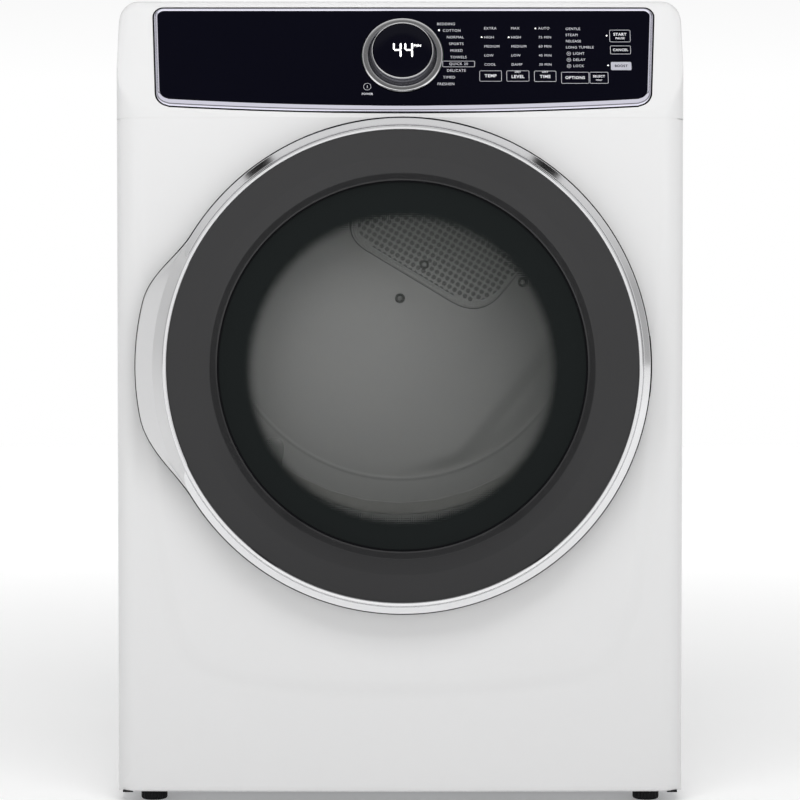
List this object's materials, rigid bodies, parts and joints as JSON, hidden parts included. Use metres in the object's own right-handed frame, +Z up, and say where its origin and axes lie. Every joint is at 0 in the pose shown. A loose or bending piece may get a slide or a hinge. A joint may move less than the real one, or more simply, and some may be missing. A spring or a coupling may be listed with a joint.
{
  "type": "clothes dryer",
  "caption": "Front-loading clothes dryer: white crowned cabinet, slanted black glass console with a turning dial, and a round dark-rimmed glass door with a side handle ear.",
  "frame": {"origin": "centre of the bounding box's bottom face, on the floor under the feet", "axes": "+Z up, -Y towards the person facing the door, +X to that person's right"},
  "size_m": [0.686, 0.813, 0.975],
  "materials": {
    "white_enamel": "glossy white enamel",
    "zinc_steel": "galvanised sheet",
    "drum_steel": "stainless sheet",
    "chrome_trim": "polished",
    "dark_gloss": "piano gloss",
    "black_glass": "mirror smooth",
    "door_glass": "clear with a black printed border",
    "grey_plastic": "moulded",
    "white_plastic": "moulded",
    "black_plastic": "moulded, ribbed",
    "rubber": "matt",
    "felt": "pressed wool felt",
    "heating_wire": "oxidised wire",
    "circuit_board": "solder mask"
  },
  "bodies": {
    "cabinet": {"base_pan": "zinc_steel", "left_side_panel": "white_enamel", "right_side_panel": "white_enamel", "back_panel": "zinc_steel", "top_panel": "white_enamel", "front_panel": "white_enamel", "console_frame": "white_enamel", "console_housing": "black_plastic", "console_bezel": "chrome_trim", "console_glass": "black_glass", "control_board": "circuit_board", "display_lens": "black_glass", "hinge_bracket": "zinc_steel", "door_catch": "black_plastic", "front_bulkhead": "white_plastic", "rear_bulkhead": "drum_steel", "inlet_grille": "drum_steel", "heater_housing": "zinc_steel", "heating_element": "heating_wire", "front_drum_seal": "felt", "rear_drum_seal": "felt", "drum_belt": "rubber", "motor_housing": "zinc_steel", "motor_bracket": "zinc_steel", "idler_spring": "drum_steel", "lint_duct": "grey_plastic", "blower_housing": "grey_plastic", "exhaust_duct": "zinc_steel", "exhaust_collar": "zinc_steel", "terminal_cover": "zinc_steel", "drum_lamp": "door_glass", "moisture_sensor": "drum_steel"},
    "door": {"door_trim_ring": "chrome_trim", "door_bezel": "dark_gloss", "door_glass": "door_glass", "door_inner_panel": "white_plastic", "door_bowl": "door_glass", "door_seal": "rubber", "door_strike": "drum_steel", "hinge_leaf": "zinc_steel"},
    "dial": {"dial_ring": "chrome_trim"},
    "drum": {"drum_shell": "drum_steel", "drum_baffle_1": "white_plastic", "drum_baffle_2": "white_plastic", "drum_baffle_3": "white_plastic"},
    "rotor": {"motor_shaft": "drum_steel", "blower_wheel": "grey_plastic"},
    "idler": {"idler_arm": "zinc_steel"},
    "idler_wheel": {"idler_pulley": "black_plastic"},
    "front_left_roller": {"front_left_roller": "black_plastic"},
    "front_right_roller": {"front_right_roller": "black_plastic"},
    "rear_left_roller": {"rear_left_roller": "black_plastic"},
    "rear_right_roller": {"rear_right_roller": "black_plastic"},
    "front_left_foot": {"front_left_foot": "black_plastic"},
    "front_right_foot": {"front_right_foot": "black_plastic"},
    "rear_left_foot": {"rear_left_foot": "black_plastic"},
    "rear_right_foot": {"rear_right_foot": "black_plastic"},
    "lint_filter": {"lint_filter_frame": "white_plastic", "lint_filter_screen": "grey_plastic"},
    "door_switch": {"door_switch_button": "white_plastic"}
  },
  "joints": [
    {"name": "door_hinge", "type": "hinge", "parent": "cabinet", "child": "door", "pos_m": [0.2922, -0.3825, 0.53], "axis": [0, 0, 1], "range_deg": [0, 110]},
    {"name": "dial_turn", "type": "hinge", "parent": "cabinet", "child": "dial", "pos_m": [0.003, -0.33819, 0.90617], "axis": [0, -0.9415, 0.3371], "continuous": true},
    {"name": "drum_spin", "type": "hinge", "parent": "cabinet", "child": "drum", "pos_m": [0, 0.016, 0.621], "axis": [0, 1, 0], "continuous": true},
    {"name": "motor_spin", "type": "hinge", "parent": "cabinet", "child": "rotor", "pos_m": [0.15, -0.15, 0.135], "axis": [0, 1, 0], "continuous": true},
    {"name": "idler_swing", "type": "hinge", "parent": "cabinet", "child": "idler", "pos_m": [0.085, -0.0455, 0.215], "axis": [0, 1, 0], "range_deg": [0, 8], "stiffness_Nm_per_rad": 1, "springref_deg": -17.19, "deforming": ["idler_spring"]},
    {"name": "idler_spin", "type": "hinge", "parent": "idler", "child": "idler_wheel", "pos_m": [0.01, -0.059, 0.203], "axis": [0, 1, 0], "continuous": true},
    {"name": "front_left_roller_spin", "type": "hinge", "parent": "cabinet", "child": "front_left_roller", "pos_m": [-0.1992, -0.28, 0.33651], "axis": [0, 1, 0], "continuous": true},
    {"name": "front_right_roller_spin", "type": "hinge", "parent": "cabinet", "child": "front_right_roller", "pos_m": [0.1992, -0.28, 0.33651], "axis": [0, 1, 0], "continuous": true},
    {"name": "rear_left_roller_spin", "type": "hinge", "parent": "cabinet", "child": "rear_left_roller", "pos_m": [-0.1992, 0.313, 0.33651], "axis": [0, 1, 0], "continuous": true},
    {"name": "rear_right_roller_spin", "type": "hinge", "parent": "cabinet", "child": "rear_right_roller", "pos_m": [0.1992, 0.313, 0.33651], "axis": [0, 1, 0], "continuous": true},
    {"name": "front_left_foot_turn", "type": "hinge", "parent": "cabinet", "child": "front_left_foot", "pos_m": [-0.301, -0.325, 0.006], "axis": [0, 0, 1], "continuous": true},
    {"name": "front_right_foot_turn", "type": "hinge", "parent": "cabinet", "child": "front_right_foot", "pos_m": [0.301, -0.325, 0.006], "axis": [0, 0, 1], "continuous": true},
    {"name": "rear_left_foot_turn", "type": "hinge", "parent": "cabinet", "child": "rear_left_foot", "pos_m": [-0.301, 0.34, 0.006], "axis": [0, 0, 1], "continuous": true},
    {"name": "rear_right_foot_turn", "type": "hinge", "parent": "cabinet", "child": "rear_right_foot", "pos_m": [0.301, 0.34, 0.006], "axis": [0, 0, 1], "continuous": true},
    {"name": "lint_filter_slide", "type": "slide", "parent": "cabinet", "child": "lint_filter", "axis": [0, 0, 1], "range_m": [0, 0.14]},
    {"name": "door_switch_press", "type": "slide", "parent": "cabinet", "child": "door_switch", "axis": [0, 1, 0], "range_m": [0, 0.004], "stiffness_N_per_m": 300, "springref_m": -0.002}
  ],
  "couplings": [
    {"joint": "motor_spin", "follows": "drum_spin", "ratio": 23},
    {"joint": "idler_spin", "follows": "drum_spin", "ratio": 14.636},
    {"joint": "front_left_roller_spin", "follows": "drum_spin", "ratio": -12.88},
    {"joint": "front_right_roller_spin", "follows": "drum_spin", "ratio": -12.88},
    {"joint": "rear_left_roller_spin", "follows": "drum_spin", "ratio": -12.88},
    {"joint": "rear_right_roller_spin", "follows": "drum_spin", "ratio": -12.88}
  ]
}
